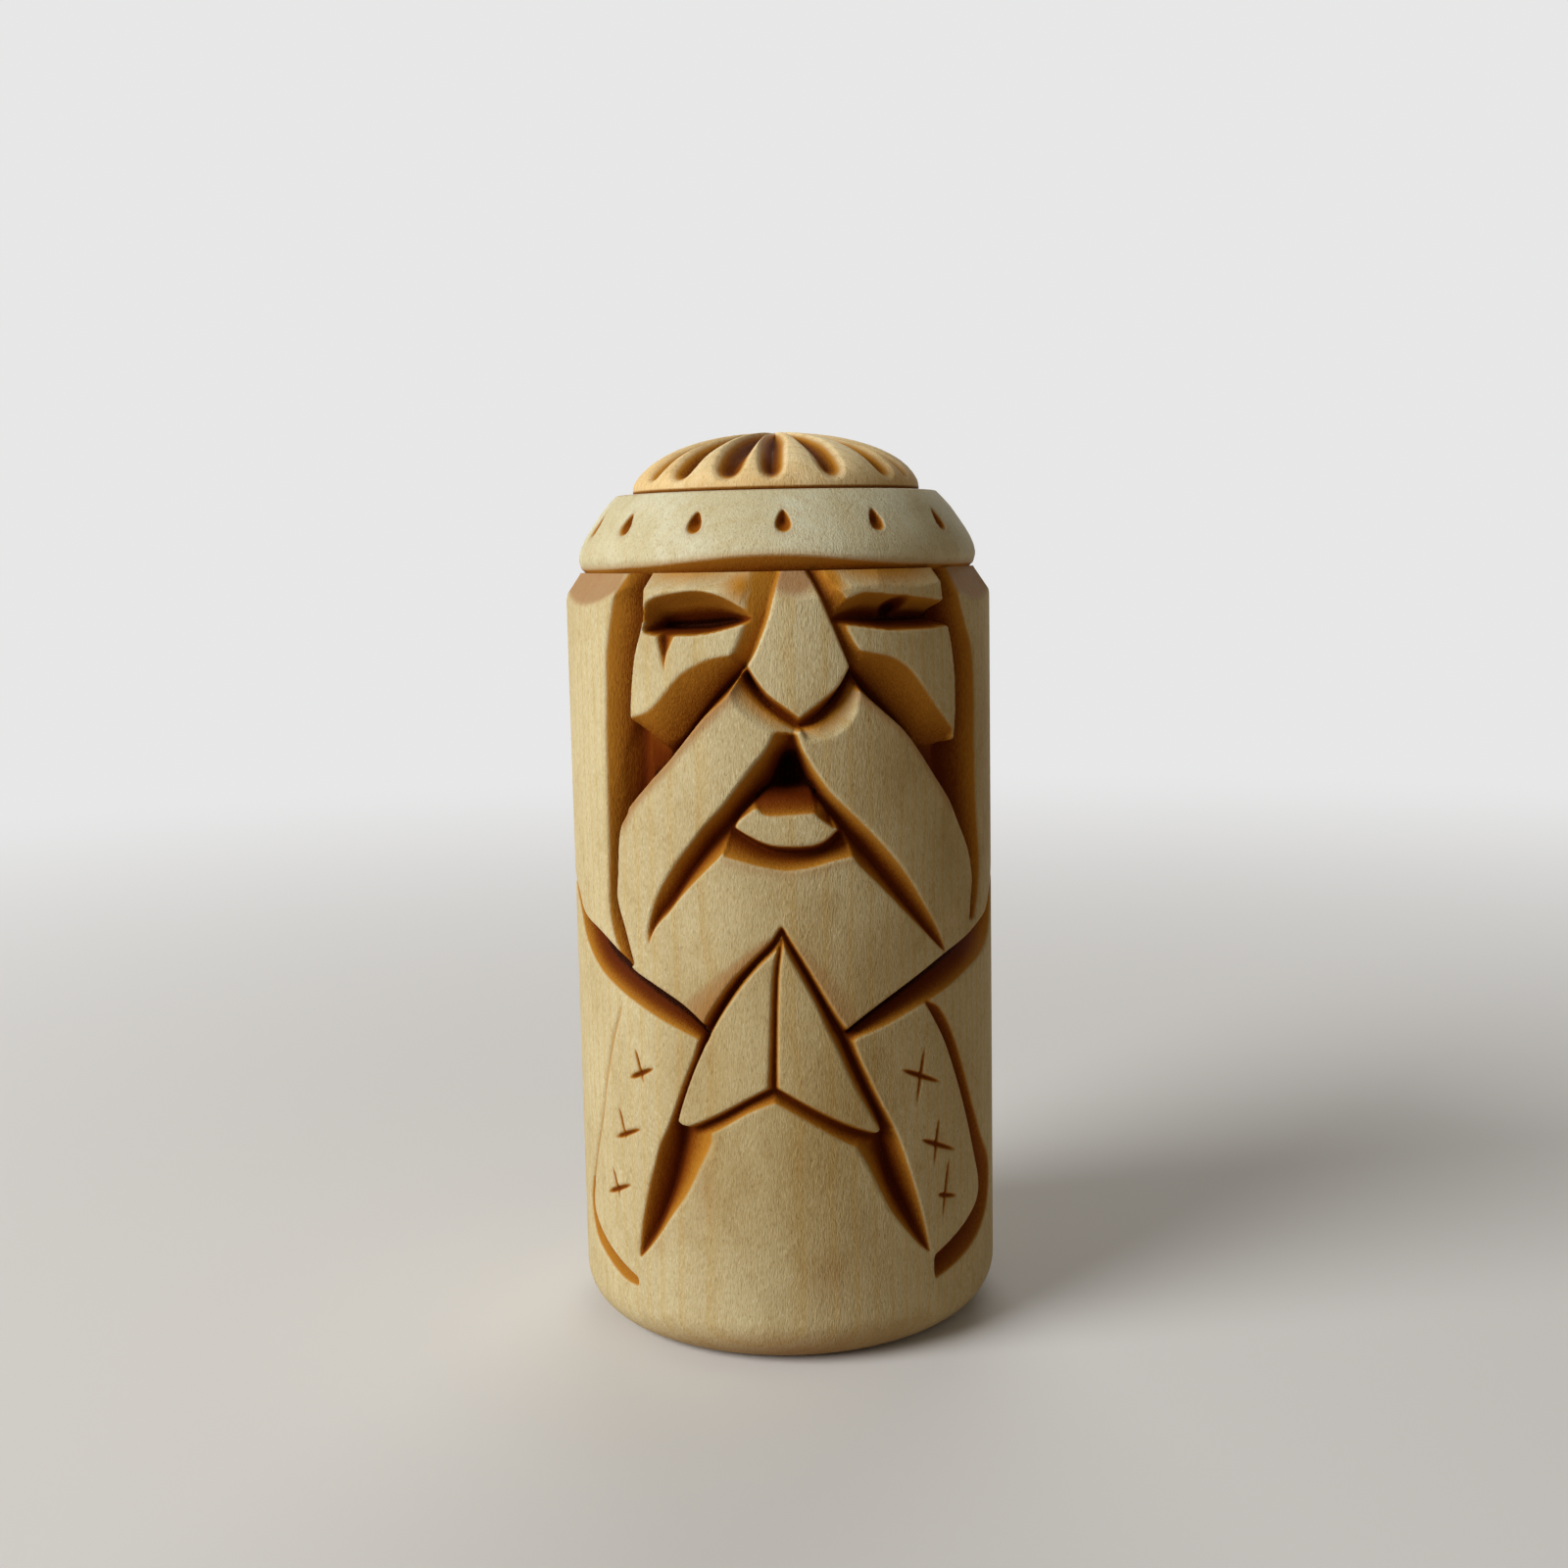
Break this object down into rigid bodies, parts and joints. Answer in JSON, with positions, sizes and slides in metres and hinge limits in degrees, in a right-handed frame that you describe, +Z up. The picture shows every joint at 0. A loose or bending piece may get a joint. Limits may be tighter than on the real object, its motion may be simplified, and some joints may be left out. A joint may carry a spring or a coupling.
{
  "type": "norse god figurine",
  "caption": "Small relief-carved wooden figurine of a norse god with a round fluted cap, headband, long moustache and forked beard, cut from one round blank to stand on its flat foot.",
  "frame": {"origin": "centre of the flat foot that the figurine stands on", "axes": "+Z up along the round blank's axis, the face looks along -Y, +X is the figure's left"},
  "size_m": [0.038, 0.038, 0.0794],
  "materials": {
    "pale_wood": "satin, oiled pale hardwood with short pore flecks",
    "warm_wood": "satin, amber where the stain took",
    "stained_wood": "satin, dark brown stain in the hollows"
  },
  "bodies": {
    "root": {"core": "warm_wood", "skullcap": "warm_wood", "headband": "pale_wood", "nose": "pale_wood", "brow_right": "pale_wood", "brow_left": "pale_wood", "eye_right": "stained_wood", "eye_left": "stained_wood", "cheek_right": "pale_wood", "cheek_left": "pale_wood", "moustache_right": "pale_wood", "moustache_left": "pale_wood", "lower_lip": "pale_wood", "beard": "pale_wood", "beard_fork_right": "pale_wood", "beard_fork_left": "pale_wood", "tunic": "pale_wood", "lapel_right": "pale_wood", "lapel_left": "pale_wood", "hair_right": "pale_wood", "hair_left": "pale_wood", "hair_lock_1": "pale_wood", "hair_lock_2": "pale_wood", "hair_lock_3": "pale_wood", "hair_lock_4": "pale_wood", "hair_lock_5": "pale_wood", "hair_lock_6": "pale_wood", "hair_lock_7": "pale_wood", "hair_lock_8": "pale_wood", "cloak_right": "pale_wood", "cloak_left": "pale_wood"}
  },
  "joints": []
}
